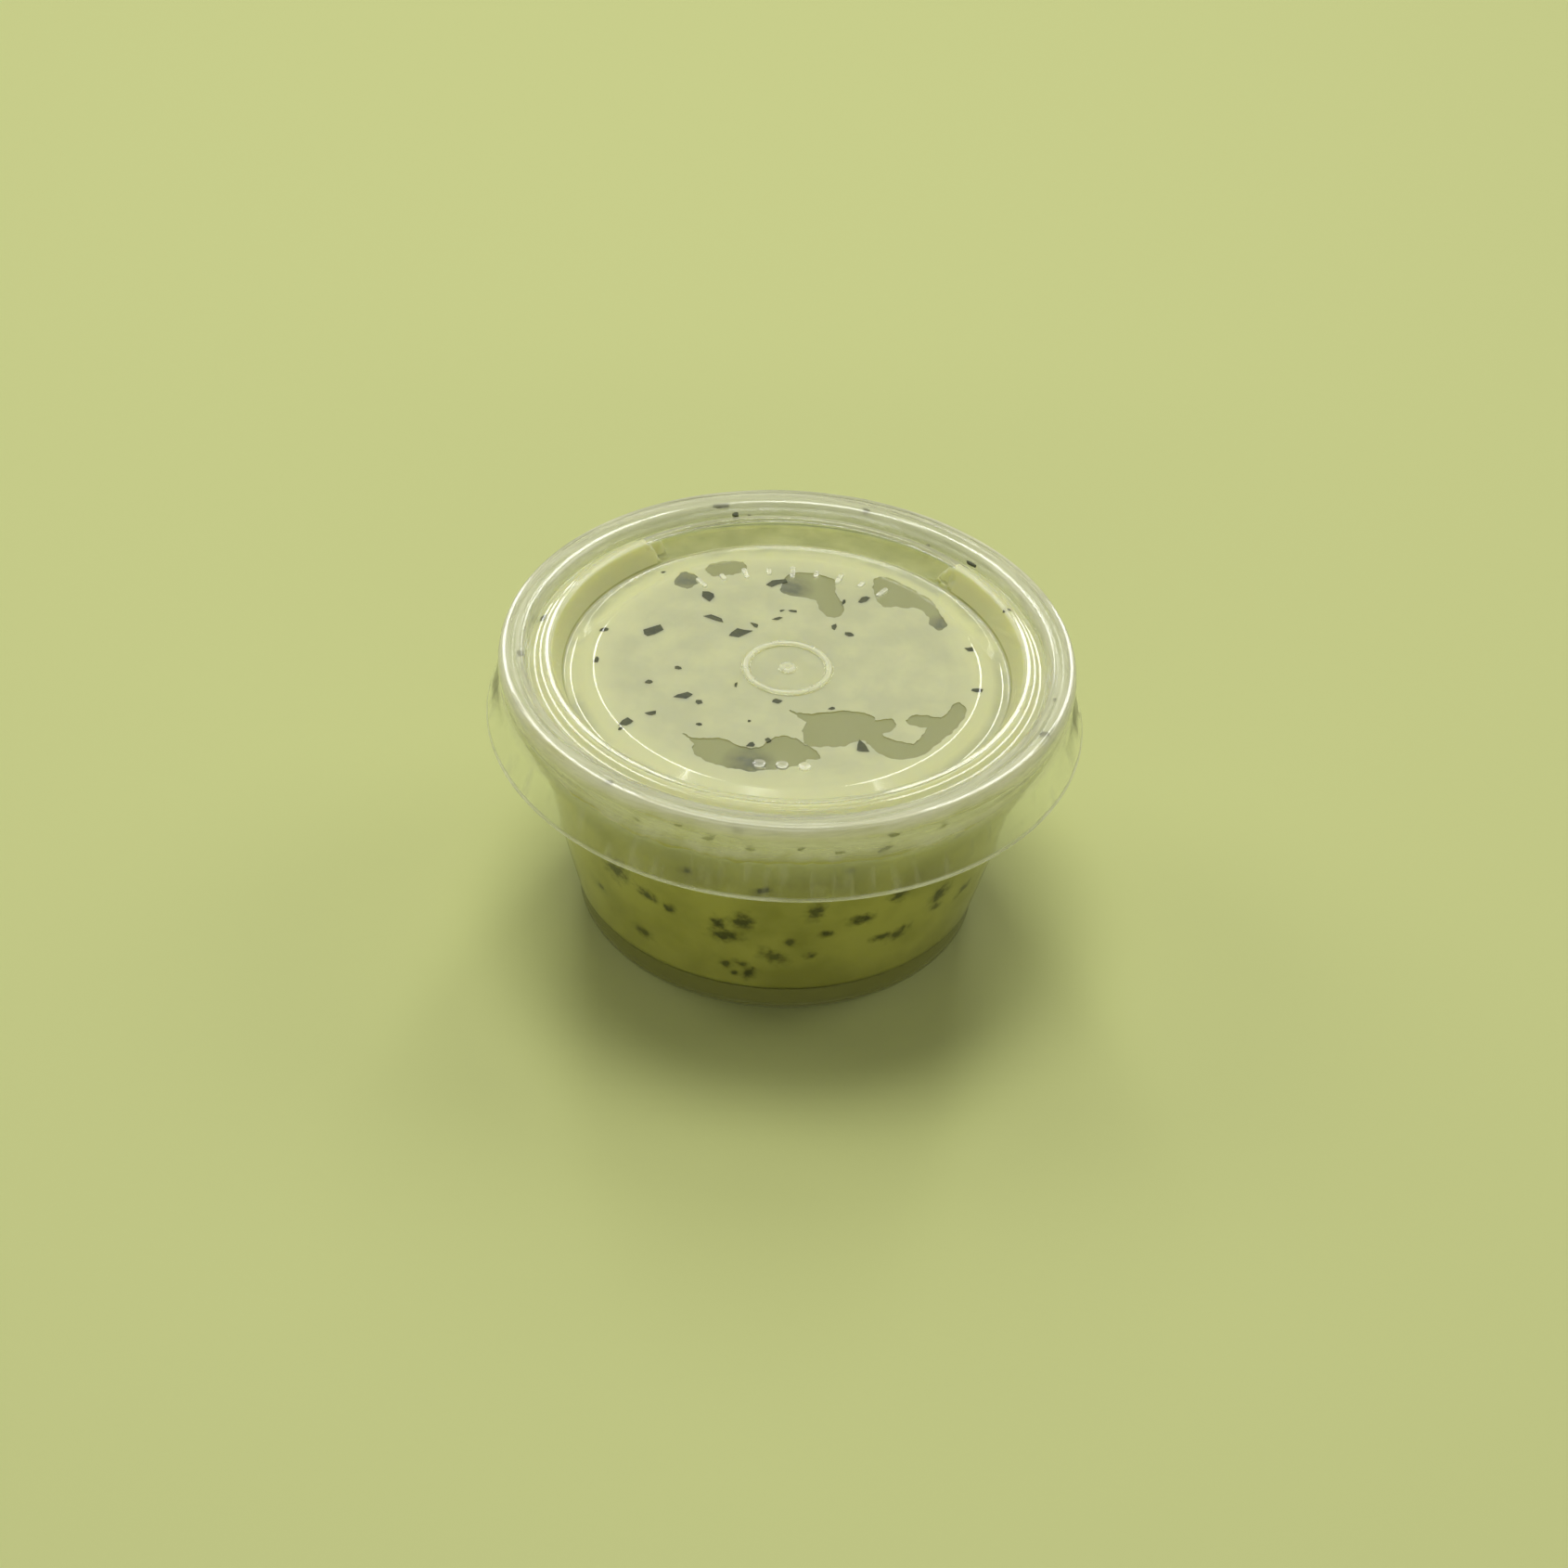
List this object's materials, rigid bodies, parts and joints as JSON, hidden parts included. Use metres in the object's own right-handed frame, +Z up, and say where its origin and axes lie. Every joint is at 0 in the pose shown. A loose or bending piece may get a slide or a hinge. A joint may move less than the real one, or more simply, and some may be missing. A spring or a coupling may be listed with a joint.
{
  "type": "lidded portion cup of herb sauce",
  "caption": "Small clear plastic portion cup shut with a clear lid that clips over its rim, filled to the lid with pale creamy green herb sauce.",
  "frame": {"origin": "centre of the foot ring, on the surface the cup stands on", "axes": "+Z up along the cup's axis; -Y towards the viewer of the picture, +X to the viewer's right"},
  "size_m": [0.0662, 0.0662, 0.033],
  "materials": {
    "clear_cup": "clear, smooth, slightly hazy",
    "clear_lid": "clear, glossy, hazy at the snap ring",
    "herb_sauce": "smooth pale creamy green sauce with dark green herb flecks"
  },
  "bodies": {
    "root": {"cup": "clear_cup", "lid": "clear_lid", "sauce": "herb_sauce"}
  },
  "joints": []
}
